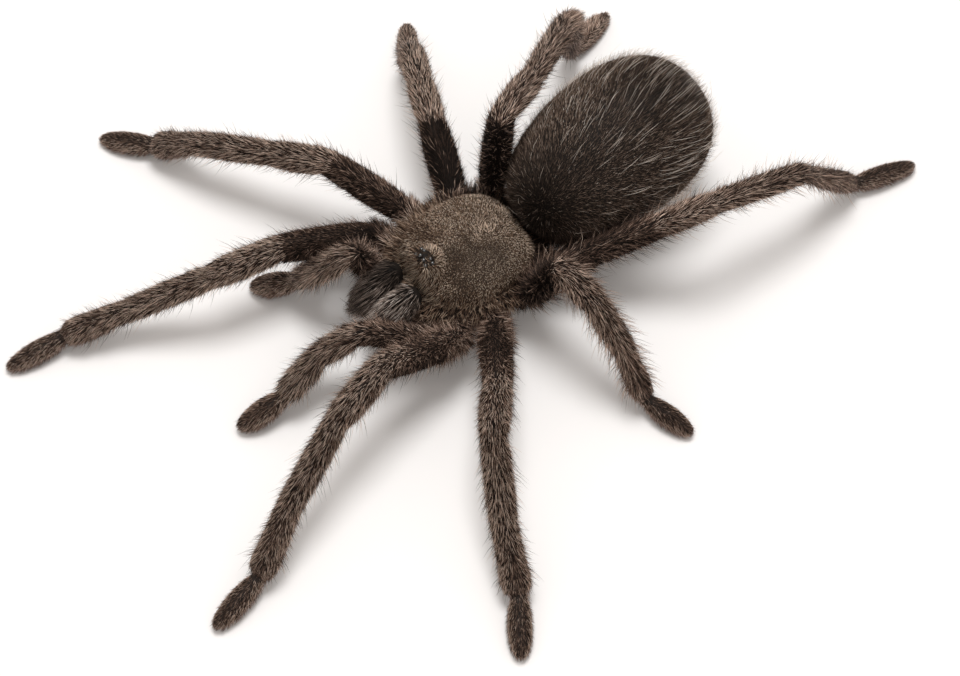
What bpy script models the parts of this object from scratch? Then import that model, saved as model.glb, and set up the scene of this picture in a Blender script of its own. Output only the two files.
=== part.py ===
"""A tarantula specimen that stands on its own feet, with each separate piece of the animal as a solid.

+Z is up, the animal faces -Y and its left side is at +X. The surfaces are those of the dense coat of
hair. Each foot is flat where it rests, at z = 0, and the origin is below the middle of the whole animal.

Places on the body are given as (along, out, up) in millimetres: along is forward from the middle of the
carapace, out is sideways from the body's middle line, and up is above the floor.
"""

import math

import bmesh
import bpy
from mathutils import Matrix, Vector

MM = 0.001  # the shapes are worked out in millimetres, and the objects are in metres
GAP = 0.3  # between neighbouring pieces
UP = Vector((0.0, 0.0, 1.0))
LEFT, RIGHT = 1, -1
SIDES = {"left": LEFT, "right": RIGHT}

# The middle of the carapace, from the middle of the whole animal.
CARAPACE_PLACE = (-1.8, -2.1)

# Carapace, with the raised head at its front and the pit behind it.
CARAPACE_LENGTH, CARAPACE_WIDTH = 20.0, 19.4
CARAPACE_RIM = 8.7
CARAPACE_RISE = 3.7
CARAPACE_SOLE = 0.5
CARAPACE_CORNERS = 2.8  # 2 is an ellipse, and more is squarer
HEAD_RISE, HEAD_PLACE, HEAD_SPREAD = 1.9, 4.9, 3.7
HEAD_TAPER, HEAD_CURVE = 0.16, 1.5  # how much narrower its front is, and how late
DOME_CURVE, SOLE_STEEP = 0.8, 3.0
PIT_DEPTH, PIT_PLACE, PIT_SPREAD = 0.9, -3.4, 1.3
TUBERCLE_PLACE, TUBERCLE_SIZE = (7.5, 0.0, 13.4), (1.4, 2.4, 1.3)
# Each pair of eyes: forward of the tubercle's middle, out, above its middle, and the eye's radius.
EYES = (
    (0.75, 0.55, 0.95, 0.42),
    (0.95, 1.55, 0.45, 0.46),
    (-0.45, 1.80, 0.50, 0.44),
    (-0.50, 1.05, 0.95, 0.36),
)

# Plates under the front body.
STERNUM_FRONT, STERNUM_REAR, STERNUM_HALF = 6.4, 7.0, 3.1  # ahead of, behind and beside its middle
STERNUM_SECTIONS = ((3.4, 0.70), (4.1, 0.95), (5.4, 1.0), (7.8, 0.9))  # height and share of the size
STERNUM_NARROW, STERNUM_CORNERS = 0.25, 20  # how much narrower its rear is
LABIUM_PLACE, LABIUM_SIZE = (7.8, 0.0, 4.9), (1.0, 1.3, 0.9)
PEDICEL_ENDS, PEDICEL_RADIUS = ((-7.2, 0.0, 6.4), (-11.0, 0.1, 7.2)), 1.0

# Jaws: the middle of each section (along, out, up), its half width, and its reach above and below.
CHELICERA = (
    ((10.5, 2.6, 9.5), 1.6, 1.5, 1.6),
    ((11.3, 2.6, 9.7), 2.2, 2.4, 2.4),
    ((12.8, 2.6, 9.4), 2.35, 2.7, 3.1),
    ((14.7, 2.55, 8.6), 2.35, 2.6, 3.7),
    ((16.4, 2.5, 7.5), 2.25, 2.3, 3.5),
    ((17.7, 2.4, 6.3), 1.8, 1.9, 2.3),
    ((18.3, 2.3, 5.4), 0.9, 1.0, 1.0),
)
# Fangs: the middle of each section (along, out, up) and its radius.
FANG = (
    ((17.5, 2.5, 3.5), 0.72),
    ((17.2, 2.5, 2.6), 0.80),
    ((16.5, 2.45, 1.7), 0.70),
    ((15.3, 2.35, 1.2), 0.54),
    ((13.9, 2.25, 1.2), 0.36),
    ((12.8, 2.2, 1.5), 0.15),
)

# Abdomen: an egg, broad end to the rear.
ABDOMEN_PLACE = (-25.8, -0.5, 14.1)
ABDOMEN_FRONT, ABDOMEN_REAR = 15.8, 18.8  # its reach ahead of and behind that place
ABDOMEN_WIDE, ABDOMEN_HIGH = 12.1, 11.7  # half its width and height
ABDOMEN_TURN, ABDOMEN_LIFT = 3.0, 9.0  # degrees: its rear to the right, and its rear up
ABDOMEN_EGG, ABDOMEN_BLUNT = 0.14, 2.25  # 2 is an ellipse, and more has blunter ends
# Spinnerets: sections from root to tip, as (along, out from the middle between the two, up) and radius.
SPINNERET = (
    ((-40.5, 1.3, 5.6), 0.7),
    ((-41.4, 1.5, 5.6), 1.0),
    ((-42.8, 1.8, 5.3), 1.0),
    ((-44.2, 2.1, 5.0), 0.75),
    ((-45.2, 2.2, 4.9), 0.3),
)
SPINNERET_SHIFT = -1.2  # their middle lies to the right, as the abdomen's rear does

# Limbs. root and hip are the ends of the coxa; lengths and widths run from the femur to the tarsus, and
# a leg's next to last one is its metatarsus.
COXA_RISE = 0.86
LIMBS = {
    "pedipalp": {"root": (8.9, 3.8, 4.5), "hip": (13.3, 7.9, 6.2), "coxa": 3.0,
                 "lengths": (11.5, 7.4, 8.6, 8.4), "widths": (3.7, 3.7, 3.7, 4.1)},
    "leg_1": {"root": (4.9, 4.6, 5.4), "hip": (8.9, 11.4, 6.9), "coxa": 3.4,
              "lengths": (17.3, 10.8, 14.5, 11.5, 9.9), "widths": (5.0, 4.5, 3.9, 4.3, 3.8)},
    "leg_2": {"root": (1.4, 5.0, 5.4), "hip": (3.0, 12.5, 6.9), "coxa": 3.8,
              "lengths": (14.8, 9.5, 13.1, 11.0, 9.5), "widths": (4.7, 4.5, 4.1, 4.4, 3.9)},
    "leg_3": {"root": (-2.2, 5.0, 5.3), "hip": (-4.7, 10.8, 6.7), "coxa": 3.8,
              "lengths": (12.4, 7.6, 8.1, 10.1, 8.9), "widths": (4.9, 4.3, 3.9, 3.7, 3.7)},
    "leg_4": {"root": (-5.8, 4.4, 5.4), "hip": (-10.7, 8.8, 6.9), "coxa": 3.8,
              "lengths": (18.0, 9.2, 16.8, 17.6, 11.2), "widths": (4.4, 4.1, 3.6, 3.5, 3.5)},
}
# Pose of each limb, in degrees from the femur on: sweep is 0 straight out and 90 forward, and pitch is
# up. The segment that has no pitch here comes down to the ankle, the joint before the tarsus, and ankle
# is that joint's height.
POSES = {
    ("pedipalp", "right"): {"sweep": (128, 56, 24, 49), "pitch": (68, -45, None, -23), "ankle": 4.4},
    ("pedipalp", "left"): {"sweep": (107, 110, 84, 92), "pitch": (33, -32, None, -16), "ankle": 3.8},
    ("leg_1", "right"): {"sweep": (79, 82, 67, 70, 87), "pitch": (19, -2, -24, None, -8), "ankle": 2.6},
    ("leg_1", "left"): {"sweep": (82, 71, 65, 62, 73), "pitch": (30, -6, -22, None, -7), "ankle": 2.6},
    ("leg_2", "right"): {"sweep": (37, 37, 36, 30, 42), "pitch": (31, -13, -16, None, -9), "ankle": 2.6},
    ("leg_2", "left"): {"sweep": (32, 38, 26, 20, 32), "pitch": (23, 9, -29, None, -8), "ankle": 2.6},
    ("leg_3", "right"): {"sweep": (-15, -19, -23, -24, -31), "pitch": (32, 1, -12, None, -8), "ankle": 2.6},
    ("leg_3", "left"): {"sweep": (-31, -11, -11, -7, -19), "pitch": (67, -13, -44, None, -8), "ankle": 2.6},
    ("leg_4", "right"): {"sweep": (-78, -66, -55, -42, -69), "pitch": (84, -3, -18, None, -8), "ankle": 2.6},
    ("leg_4", "left"): {"sweep": (-65, -65, -87, -90, -80), "pitch": (27, 28, -14, None, -5), "ankle": 2.6},
}

# How each segment's coat swells, as (share of the free length, share of the width).
COXA_COAT = ((0.0, 0.62), (0.35, 0.92), (1.0, 1.0))
FEMUR_COAT = ((0.0, 0.90), (0.3, 1.03), (0.7, 1.0), (1.0, 0.92))
PATELLA_COAT = ((0.0, 0.97), (0.6, 1.04), (1.0, 0.96))
TIBIA_COAT = ((0.0, 0.98), (0.5, 1.02), (1.0, 0.97))
METATARSUS_COAT = ((0.0, 0.90), (0.5, 0.98), (0.85, 1.12), (1.0, 0.98))
TARSUS_COAT = ((0.0, 0.80), (0.25, 1.0), (0.55, 1.04), (0.85, 0.80), (1.0, 0.40))
KNEE, ANKLE = 0.90, 0.64  # how far the coat draws in at a joint
LEG_COATS = (COXA_COAT, FEMUR_COAT, PATELLA_COAT, TIBIA_COAT, METATARSUS_COAT, TARSUS_COAT)
PALP_COATS = (COXA_COAT, FEMUR_COAT, PATELLA_COAT, TIBIA_COAT, TARSUS_COAT)
JOINT_ROOM = 0.7  # least distance from a joint to the next section
FOOT_RISE = 0.78  # how far a foot's coat rises above its middle line, as a share of its half width
FOOT_DROP = 3.0  # how far down a foot reaches for the floor
FOOT_ENDS = 0.8  # how far down its ends reach, as a share of their height
LIMB_CORNERS, SMALL_CORNERS, JAW_CORNERS = 12, 8, 14
EGG_SEGMENTS, EGG_RINGS = 28, 18
SHELL_SEGMENTS, SHELL_RINGS = 32, 14

BLACK_BROWN, OLIVE_BROWN = (0.022, 0.017, 0.014), (0.085, 0.062, 0.043)
LEG_BROWN, JAW_GREY, FANG_BLACK = (0.060, 0.042, 0.032), (0.050, 0.042, 0.038), (0.010, 0.008, 0.007)


def at(side, along, out, up):
    """A place on the body, with out to the animal's left or right."""
    return Vector((side * out, -along, up))


def heading(side, sweep, pitch):
    """The way a limb segment points."""
    turn, lift = math.radians(sweep), math.radians(pitch)
    return Vector((side * math.cos(turn) * math.cos(lift), -math.sin(turn) * math.cos(lift), math.sin(lift)))


def material(name, colour, roughness):
    """A plain material of its own for one piece."""
    finish = bpy.data.materials.new(name)
    finish.use_nodes = True
    shader = finish.node_tree.nodes["Principled BSDF"]
    shader.inputs["Base Color"].default_value = (*colour, 1.0)
    shader.inputs["Roughness"].default_value = roughness
    shader.inputs["Metallic"].default_value = 0.0
    return finish


def make_piece(name, mesh, colour, roughness=0.9):
    """Makes an object of a mesh that is in millimetres around the middle of the carapace."""
    bmesh.ops.recalc_face_normals(mesh, faces=mesh.faces)
    bmesh.ops.scale(mesh, vec=(MM, MM, MM), verts=mesh.verts)
    data = bpy.data.meshes.new(name)
    mesh.to_mesh(data)
    mesh.free()
    data.materials.append(material(name, colour, roughness))
    data.shade_smooth()
    data.set_sharp_from_angle(angle=math.radians(60))
    piece = bpy.data.objects.new(name, data)
    piece.parent = bpy.data.objects["carapace_middle"]
    bpy.context.collection.objects.link(piece)
    return piece


def section(middle, across, above, half_width, rise, drop, corners):
    """The corners of one oval section, held above the floor."""
    ring = []
    for step in range(corners):
        angle = 2.0 * math.pi * step / corners
        reach = rise if math.sin(angle) > 0 else drop
        corner = middle + across * half_width * math.cos(angle) + above * reach * math.sin(angle)
        corner.z = max(corner.z, 0.0)
        ring.append(corner)
    return ring


def loft(rings):
    """Closes a row of sections into one solid: the first is a face, and each next grows out of it."""
    mesh = bmesh.new()
    first = end = mesh.faces.new([mesh.verts.new(corner) for corner in rings[0]])
    for here, ring in zip(rings, rings[1:]):
        grown = bmesh.ops.extrude_face_region(mesh, geom=[end])["geom"]
        if end is not first:
            bmesh.ops.delete(mesh, geom=[end], context="FACES_ONLY")
        end = next(part for part in grown if isinstance(part, bmesh.types.BMFace))
        for vertex in end.verts:
            nearest = min(range(len(here)), key=lambda corner: (here[corner] - vertex.co).length)
            vertex.co = ring[nearest]
    return mesh


def tube(path, corners, side=LEFT):
    """A solid along a path of (place, radius) or (place, half width, rise, drop)."""
    places = [at(side, *step[0]) for step in path]
    rings = []
    for number, step in enumerate(path):
        before, after = places[max(number - 1, 0)], places[min(number + 1, len(places) - 1)]
        forward = (after - before).normalized()
        across = UP.cross(forward).normalized()
        half_width, rise, drop = step[1:] if len(step) == 4 else step[1:] * 3
        rings.append(section(places[number], across, forward.cross(across), half_width, rise, drop, corners))
    return loft(rings)


def limb_joints(kind, side_name):
    """The joints of a limb, from its root beside the sternum to the tip of its foot."""
    limb, pose, side = LIMBS[kind], POSES[kind, side_name], SIDES[side_name]
    joints = [at(side, *limb["root"]), at(side, *limb["hip"])]
    for length, sweep, pitch in zip(limb["lengths"], pose["sweep"], pose["pitch"]):
        if pitch is None:
            pitch = math.degrees(math.asin((pose["ankle"] - joints[-1].z) / length))
        joints.append(joints[-1] + length * heading(side, sweep, pitch))
    return joints


def limb_mesh(kind, side_name):
    """One limb as a solid: sections along each segment, and one across each joint."""
    joints = limb_joints(kind, side_name)
    widths = (LIMBS[kind]["coxa"], *LIMBS[kind]["widths"])
    coats = PALP_COATS if kind == "pedipalp" else LEG_COATS
    forwards = [(end - start).normalized() for start, end in zip(joints, joints[1:])]
    acrosses = [UP.cross(forward).normalized() for forward in forwards]
    bends = [0.0] + [before.angle(after) for before, after in zip(forwards, forwards[1:])] + [0.0]
    last = len(forwards) - 1
    rings = []
    for number, (start, end) in enumerate(zip(joints, joints[1:])):
        forward, across = forwards[number], acrosses[number]
        half = widths[number] / 2.0
        room = [max(JOINT_ROOM, half * math.tan(bend / 2.0) + GAP) for bend in bends[number:number + 2]]
        room[0] = 0.0 if number == 0 else room[0]
        room[1] = 0.0 if number == last else room[1]
        free = (end - start).length - sum(room)
        for share, swell in coats[number]:
            middle = start + forward * (room[0] + free * share)
            reach = half * swell
            rise, drop = reach, reach
            if number == 0:
                rise *= COXA_RISE
            if number == last:
                rise *= FOOT_RISE
                if middle.z < FOOT_DROP:
                    drop = FOOT_DROP if 0.2 < share < 0.9 else middle.z * FOOT_ENDS
            rings.append(section(middle, across, forward.cross(across), reach, rise, drop, LIMB_CORNERS))
        if number < last:
            draw = ANKLE if number == last - 1 else KNEE
            half = draw * min(widths[number], widths[number + 1]) / 2.0
            forward = (forward + forwards[number + 1]).normalized()
            across = (across + acrosses[number + 1]).normalized()
            rings.append(section(end, across, forward.cross(across), half, half, half, LIMB_CORNERS))
    return loft(rings)


def shell_point(point):
    """Where a point of a unit sphere lies on the carapace."""
    out, along, height = point
    flat = math.hypot(out, along)
    if flat > 1e-6:
        square = abs(out / flat) ** CARAPACE_CORNERS + abs(along / flat) ** CARAPACE_CORNERS
        stretch = square ** (-1.0 / CARAPACE_CORNERS)
        out, along = out * stretch, along * stretch
    out *= CARAPACE_WIDTH / 2.0 * (1.0 - HEAD_TAPER * max(along, 0.0) ** HEAD_CURVE)
    along *= CARAPACE_LENGTH / 2.0
    if height <= 0.0:
        return at(LEFT, along, out, CARAPACE_RIM - CARAPACE_SOLE * min(1.0, -SOLE_STEEP * height))
    head = math.exp(-((along - HEAD_PLACE) / HEAD_SPREAD) ** 2 - (out / HEAD_SPREAD) ** 2)
    pit = math.exp(-((along - PIT_PLACE) / PIT_SPREAD) ** 2 - (out / PIT_SPREAD) ** 2)
    top = CARAPACE_RISE * height ** DOME_CURVE
    top += HEAD_RISE * head * min(1.0, 2.0 * height) - PIT_DEPTH * pit
    return at(LEFT, along, out, CARAPACE_RIM + top)


def egg_point(point):
    """Where a point of a unit sphere lies on the abdomen, before it is turned and placed."""
    length = ABDOMEN_REAR if point.y > 0.0 else ABDOMEN_FRONT
    swell = 1.0 + ABDOMEN_EGG * point.y
    thin = math.hypot(point.x, point.z)
    if thin > 1e-6:
        swell *= (1.0 - abs(point.y) ** ABDOMEN_BLUNT) ** (1.0 / ABDOMEN_BLUNT) / thin
    return Vector((point.x * ABDOMEN_WIDE * swell, point.y * length, point.z * ABDOMEN_HIGH * swell))


def ball(segments, rings):
    """A unit sphere."""
    mesh = bmesh.new()
    bmesh.ops.create_uvsphere(mesh, u_segments=segments, v_segments=rings, radius=1.0)
    return mesh


def lump(place, size, side=LEFT, segments=12, rings=8):
    """An oval lump."""
    mesh = ball(segments, rings)
    along, out, up = size
    bmesh.ops.scale(mesh, vec=(out, along, up), verts=mesh.verts)
    bmesh.ops.translate(mesh, vec=at(side, *place), verts=mesh.verts)
    return mesh


def fuse(piece, mesh, name):
    """Joins a mesh to a piece, and drops the helper that held it."""
    helper = make_piece(name, mesh, FANG_BLACK)
    union = piece.modifiers.new(name, "BOOLEAN")
    union.operation = "UNION"
    union.solver = "EXACT"
    union.object = helper
    helper.hide_render = True
    helper.display_type = "WIRE"


def make_carapace():
    mesh = ball(SHELL_SEGMENTS, SHELL_RINGS)
    for vertex in mesh.verts:
        vertex.co = shell_point(vertex.co.copy())
    carapace = make_piece("carapace", mesh, OLIVE_BROWN)
    fuse(carapace, lump(TUBERCLE_PLACE, TUBERCLE_SIZE, segments=16, rings=10), "eye_tubercle")
    for number, (forward, out, rise, radius) in enumerate(EYES, start=1):
        place = (TUBERCLE_PLACE[0] + forward, out, TUBERCLE_PLACE[2] + rise)
        for side_name, side in SIDES.items():
            eye = lump(place, (radius,) * 3, side, segments=SMALL_CORNERS, rings=6)
            fuse(carapace, eye, f"eye_{number}_{side_name}")


def make_underside():
    """The sternum, with the heart-shaped outline that the coxae stand around, and the labium."""
    rings = []
    for up, share in STERNUM_SECTIONS:
        ring = []
        for step in range(STERNUM_CORNERS):
            angle = 2.0 * math.pi * step / STERNUM_CORNERS
            length = STERNUM_FRONT if math.cos(angle) > 0 else STERNUM_REAR
            width = STERNUM_HALF * (1.0 - STERNUM_NARROW * max(-math.cos(angle), 0.0))
            ring.append(at(LEFT, length * share * math.cos(angle), width * share * math.sin(angle), up))
        rings.append(ring)
    make_piece("sternum", loft(rings), BLACK_BROWN)
    make_piece("labium", lump(LABIUM_PLACE, LABIUM_SIZE), BLACK_BROWN)
    ends = [(place, PEDICEL_RADIUS) for place in PEDICEL_ENDS]
    make_piece("pedicel", tube(ends, SMALL_CORNERS), BLACK_BROWN)


def make_jaws():
    for side_name, side in SIDES.items():
        make_piece(f"chelicera_{side_name}", tube(CHELICERA, JAW_CORNERS, side), JAW_GREY)
        make_piece(f"fang_{side_name}", tube(FANG, SMALL_CORNERS, side), FANG_BLACK, 0.25)


def make_limbs():
    for kind, side_name in POSES:
        make_piece(f"{kind}_{side_name}", limb_mesh(kind, side_name), LEG_BROWN)


def make_abdomen():
    mesh = ball(EGG_SEGMENTS, EGG_RINGS)
    upright = Matrix.Rotation(math.radians(90), 3, "X")
    bmesh.ops.rotate(mesh, cent=(0, 0, 0), matrix=upright, verts=mesh.verts)
    for vertex in mesh.verts:
        vertex.co = egg_point(vertex.co.copy())
    lift = Matrix.Rotation(math.radians(ABDOMEN_LIFT), 3, "X")
    turn = Matrix.Rotation(math.radians(ABDOMEN_TURN), 3, "Z")
    bmesh.ops.rotate(mesh, cent=(0, 0, 0), matrix=turn @ lift, verts=mesh.verts)
    bmesh.ops.translate(mesh, vec=at(LEFT, *ABDOMEN_PLACE), verts=mesh.verts)
    make_piece("abdomen", mesh, BLACK_BROWN)
    for side_name, side in SIDES.items():
        path = [((along, out + side * SPINNERET_SHIFT, up), radius) for (along, out, up), radius in SPINNERET]
        make_piece(f"spinneret_{side_name}", tube(path, SMALL_CORNERS, side), BLACK_BROWN)


def main():
    for old in list(bpy.data.objects):
        bpy.data.objects.remove(old)
    middle = bpy.data.objects.new("carapace_middle", None)
    middle.location = (CARAPACE_PLACE[0] * MM, CARAPACE_PLACE[1] * MM, 0.0)
    bpy.context.collection.objects.link(middle)
    make_carapace()
    make_underside()
    make_jaws()
    make_limbs()
    make_abdomen()


main()
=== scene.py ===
"""The looks of the tarantula specimen: a dark skin on each piece, the coat of hair that grows on it, and
glossy eyes and fangs.

+Z is up, the animal faces -Y and its left side is at +X. Places on the body are given in millimetres as
(along, out, up): along is forward from the middle of the carapace, out is sideways from the body's middle
line, and up is above the floor.
"""

import math

import bmesh
import bpy
import numpy as np
from mathutils import Matrix, Vector


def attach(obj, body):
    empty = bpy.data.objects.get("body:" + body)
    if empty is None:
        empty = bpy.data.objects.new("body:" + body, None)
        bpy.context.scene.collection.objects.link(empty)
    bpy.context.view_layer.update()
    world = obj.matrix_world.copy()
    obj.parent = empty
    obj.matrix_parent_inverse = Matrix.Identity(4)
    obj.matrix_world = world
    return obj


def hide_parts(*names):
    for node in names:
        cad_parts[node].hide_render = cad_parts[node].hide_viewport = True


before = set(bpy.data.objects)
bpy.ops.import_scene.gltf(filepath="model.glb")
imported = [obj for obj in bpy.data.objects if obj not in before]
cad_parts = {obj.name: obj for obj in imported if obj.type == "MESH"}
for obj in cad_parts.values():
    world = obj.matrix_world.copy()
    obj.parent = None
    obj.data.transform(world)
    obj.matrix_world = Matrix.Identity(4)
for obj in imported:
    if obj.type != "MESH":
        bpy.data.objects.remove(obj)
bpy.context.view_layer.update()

MM = 0.001
LEFT, RIGHT = 1, -1
SIDES = {"left": LEFT, "right": RIGHT}
CARAPACE_MIDDLE = np.array((-1.8, -2.1, 0.0))  # from the middle of the whole animal

# The limbs, as the model has them.
LIMBS = {
    "pedipalp": {"root": (8.9, 3.8, 4.5), "hip": (13.3, 7.9, 6.2), "lengths": (11.5, 7.4, 8.6, 8.4)},
    "leg_1": {"root": (4.9, 4.6, 5.4), "hip": (8.9, 11.4, 6.9), "lengths": (17.3, 10.8, 14.5, 11.5, 9.9)},
    "leg_2": {"root": (1.4, 5.0, 5.4), "hip": (3.0, 12.5, 6.9), "lengths": (14.8, 9.5, 13.1, 11.0, 9.5)},
    "leg_3": {"root": (-2.2, 5.0, 5.3), "hip": (-4.7, 10.8, 6.7), "lengths": (12.4, 7.6, 8.1, 10.1, 8.9)},
    "leg_4": {"root": (-5.8, 4.4, 5.4), "hip": (-10.7, 8.8, 6.9), "lengths": (18.0, 9.2, 16.8, 17.6, 11.2)},
}
# Sweep is 0 straight out and 90 forward, and pitch is up. The segment with no pitch comes down to the ankle.
POSES = {
    ("pedipalp", "right"): {"sweep": (128, 56, 24, 49), "pitch": (68, -45, None, -23), "ankle": 4.4},
    ("pedipalp", "left"): {"sweep": (107, 110, 84, 92), "pitch": (33, -32, None, -16), "ankle": 3.8},
    ("leg_1", "right"): {"sweep": (79, 82, 67, 70, 87), "pitch": (19, -2, -24, None, -8), "ankle": 2.6},
    ("leg_1", "left"): {"sweep": (82, 71, 65, 62, 73), "pitch": (30, -6, -22, None, -7), "ankle": 2.6},
    ("leg_2", "right"): {"sweep": (37, 37, 36, 30, 42), "pitch": (31, -13, -16, None, -9), "ankle": 2.6},
    ("leg_2", "left"): {"sweep": (32, 38, 26, 20, 32), "pitch": (23, 9, -29, None, -8), "ankle": 2.6},
    ("leg_3", "right"): {"sweep": (-15, -19, -23, -24, -31), "pitch": (32, 1, -12, None, -8), "ankle": 2.6},
    ("leg_3", "left"): {"sweep": (-31, -11, -11, -7, -19), "pitch": (67, -13, -44, None, -8), "ankle": 2.6},
    ("leg_4", "right"): {"sweep": (-78, -66, -55, -42, -69), "pitch": (84, -3, -18, None, -8), "ankle": 2.6},
    ("leg_4", "left"): {"sweep": (-65, -65, -87, -90, -80), "pitch": (27, 28, -14, None, -5), "ankle": 2.6},
}
LEG_SEGMENTS = ("coxa", "femur", "patella", "tibia", "metatarsus", "tarsus")
PALP_SEGMENTS = ("coxa", "femur", "patella", "tibia", "tarsus")
COXA, FEMUR, TIBIA, METATARSUS, TARSUS = 0, 1, 3, 4, 5  # their numbers on a leg

# The coat on each segment: tone from 0, black, to 1, palest; length in mm; and lift off the skin in degrees.
SEGMENT_COATS = {
    "coxa": (0.50, 2.3, 30),
    "femur": (0.12, 1.3, 16),
    "patella": (0.74, 1.5, 13),
    "tibia": (0.75, 1.6, 12),
    "metatarsus": (0.72, 1.4, 11),
    "tarsus": (0.60, 0.95, 9),
}
# How much paler or darker the coxa, the femur and the rest of each limb are than the coat above: partly each
# limb's own tone, partly painted shade on limbs in shadow, such as the dark coxae of the left third and
# fourth legs and the dark femora of the right third and fourth legs.
LIMB_TONES_AND_SHADE = {
    ("pedipalp", "right"): (0.06, 0.08, 0.0),
    ("pedipalp", "left"): (0.0, 0.04, 0.0),
    ("leg_1", "right"): (-0.04, -0.16, 0.09),
    ("leg_1", "left"): (-0.04, 0.04, 0.0),
    ("leg_2", "right"): (0.08, -0.05, 0.0),
    ("leg_2", "left"): (-0.06, -0.10, -0.05),
    ("leg_3", "right"): (0.08, -0.32, 0.03),
    ("leg_3", "left"): (-0.46, -0.08, -0.14),
    ("leg_4", "right"): (0.0, -0.16, -0.09),
    ("leg_4", "left"): (-0.46, -0.10, -0.14),
}
PALE_FEET = (("leg_3", "right"), ("leg_4", "right"))
# How much paler the outer end of these legs' dark femur gets.
SOFT_ENDS = {("leg_1", "left"): 0.4, ("leg_2", "left"): 0.5, ("leg_4", "left"): 0.5}
ROOT_TUFTS = {("leg_1", "left"): 0.42, ("leg_2", "left"): 0.42, ("leg_4", "left"): 0.12}  # the tufts' tones
WISPS = {("leg_3", "left"): 3.2, ("leg_4", "left"): 1.6}  # the wisps on a square millimetre

# Most coats have a dark layer of hair and, over it, paler hairs that stand apart. A layer gives the hairs on
# a square millimetre, their radius in mm, their share of the coat's tone, how far their tones spread, their
# share of the coat's length, and how much they curve.
LIMB_LAYERS = ((11.0, 0.11, 0.04, 0.4, 0.85, 0.0), (14.0, 0.066, 1.00, 0.58, 0.95, 0.0))
ABDOMEN_LAYERS = ((13.0, 0.085, 0.42, 0.4, 0.9, 0.0), (8.0, 0.055, 1.0, 0.32, 1.05, 0.0))
SHELL_LAYERS = ((24.0, 0.09, 0.15, 0.3, 0.9, 0.0), (30.0, 0.056, 1.08, 0.50, 1.0, 0.0))
JAW_LAYERS = ((16.0, 0.10, 0.06, 0.4, 0.8, 0.0), (11.0, 0.052, 1.05, 0.40, 1.3, 0.25))
UNDERSIDE_LAYERS = ((14.0, 0.07, 0.8, 0.3, 1.0, 0.0),)
# The other kinds of hair: how many grow on a square millimetre, and their radius in mm.
FOOT_DENSITY, FOOT_RADIUS = 11.0, 0.055
FUZZ_DENSITY, FUZZ_RADIUS = 9.0, 0.042
BRISTLE_DENSITY, BRISTLE_RADIUS = 1.5, 0.036
PAD_DENSITY, PAD_RADIUS = 20.0, 0.055
NOTCH_DENSITY, NOTCH_RADIUS = 22.0, 0.065
TUFT_DENSITY, TUFT_RADIUS = 16.0, 0.065
CURL_DENSITY, CURL_RADIUS = 0.5, 0.030
DOWN_DENSITY, DOWN_RADIUS = 3.4, 0.032
PIT_DENSITY, PIT_RADIUS = 9.0, 0.06
JOINT_DENSITY, JOINT_RADIUS = 18.0, 0.085
MOUND_DENSITY, MOUND_RADIUS = 26.0, 0.055
LONG_DENSITY, LONG_RADII = 0.52, (0.026, 0.038)
WISP_RADIUS = 0.034

SKIN_DEPTH = 0.28  # how far a limb's skin lies under the tips of its coat, in mm
ROOT_DEPTH = 0.08  # how far under the skin a hair starts, in mm
FLOOR_GAP = 0.03  # the least height of hair above the floor, in mm
KNEE_WIDTH = 0.8  # a bent hair's radius at its knee, as a share of that at its root
SIDE_TONES = (-0.006, 0.0, 0.006)  # how the tones of a hair's three sides differ
TRIES = 4.0  # places tried for each one in a layer of evenly spaced hair
CUBE_SHARE = 1.25  # the area of the side of a cube that takes one hair, over the area that each hair has
LAYER_LIFT = 4.0  # how much more the upper layer is lifted, in degrees
FLOW_BLEND = 0.9  # how wide the hair's flow blends from one segment into the next, in mm

# Colours from the darkest hair to the palest.
LEG_HAIR = ((0.006, 0.004, 0.003), (0.135, 0.084, 0.062), (0.49, 0.332, 0.254), (0.98, 0.77, 0.63))
SHELL_HAIR = ((0.008, 0.005, 0.004), (0.135, 0.083, 0.056), (0.48, 0.32, 0.22), (0.98, 0.79, 0.62))
ABDOMEN_HAIR = ((0.004, 0.003, 0.002), (0.078, 0.052, 0.038), (0.33, 0.235, 0.18), (0.97, 0.88, 0.78))
JAW_HAIR = ((0.006, 0.005, 0.004), (0.12, 0.090, 0.074), (0.42, 0.335, 0.285), (0.95, 0.85, 0.77))
SCOPULA_HAIR = ((0.035, 0.024, 0.020), (0.16, 0.105, 0.085), (0.42, 0.29, 0.24), (0.75, 0.58, 0.50))

TUBERCLE = (7.5, 0.0, 13.4)  # the middle of the mound that carries the eyes
# Each pair of eyes: how far ahead of the tubercle's middle, out from it and above it, and the radius.
EYES = (
    (0.55, 0.48, 0.85, 0.36),
    (0.75, 1.25, 0.45, 0.38),
    (-0.35, 1.50, 0.52, 0.36),
    (-0.42, 0.88, 0.85, 0.30),
)
SOFT_JOINTS = (10.9, 12.4, 1.7)  # half of the soft skin's width, length and height

# The camera. Its directions are in the model's frame.
BACK = Vector((0.4505, -0.298, 0.8415))  # from the animal to the camera
ACROSS = Vector((0.552, 0.834, 0.0))
UPWARD = Vector((-0.702, 0.4645, 0.540))
AWAY = Vector((-0.834, 0.552, 0.0))
CAMERA_DISTANCE = 0.45
PICTURE_WIDTH = 960.0
SENSOR_WIDTH = 36.0
FOCAL = 2902.5  # in pixels
SHIFT_ACROSS, SHIFT_DOWN = 14.0, 86.0  # how far the middle of the picture is from the carapace, in pixels

KEY_DISTANCE, KEY_SIZE, KEY_POWER = 0.9, 0.42, 5.2
ROOM_COLOUR, ROOM_STRENGTH = (1.0, 0.955, 0.92, 1.0), 0.71


# ---------------------------------------------------------------- places on the animal


def at(side, along, out, up):
    """A place on the body, in mm in the model's frame."""
    return CARAPACE_MIDDLE + np.array((side * out, -along, up))


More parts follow.
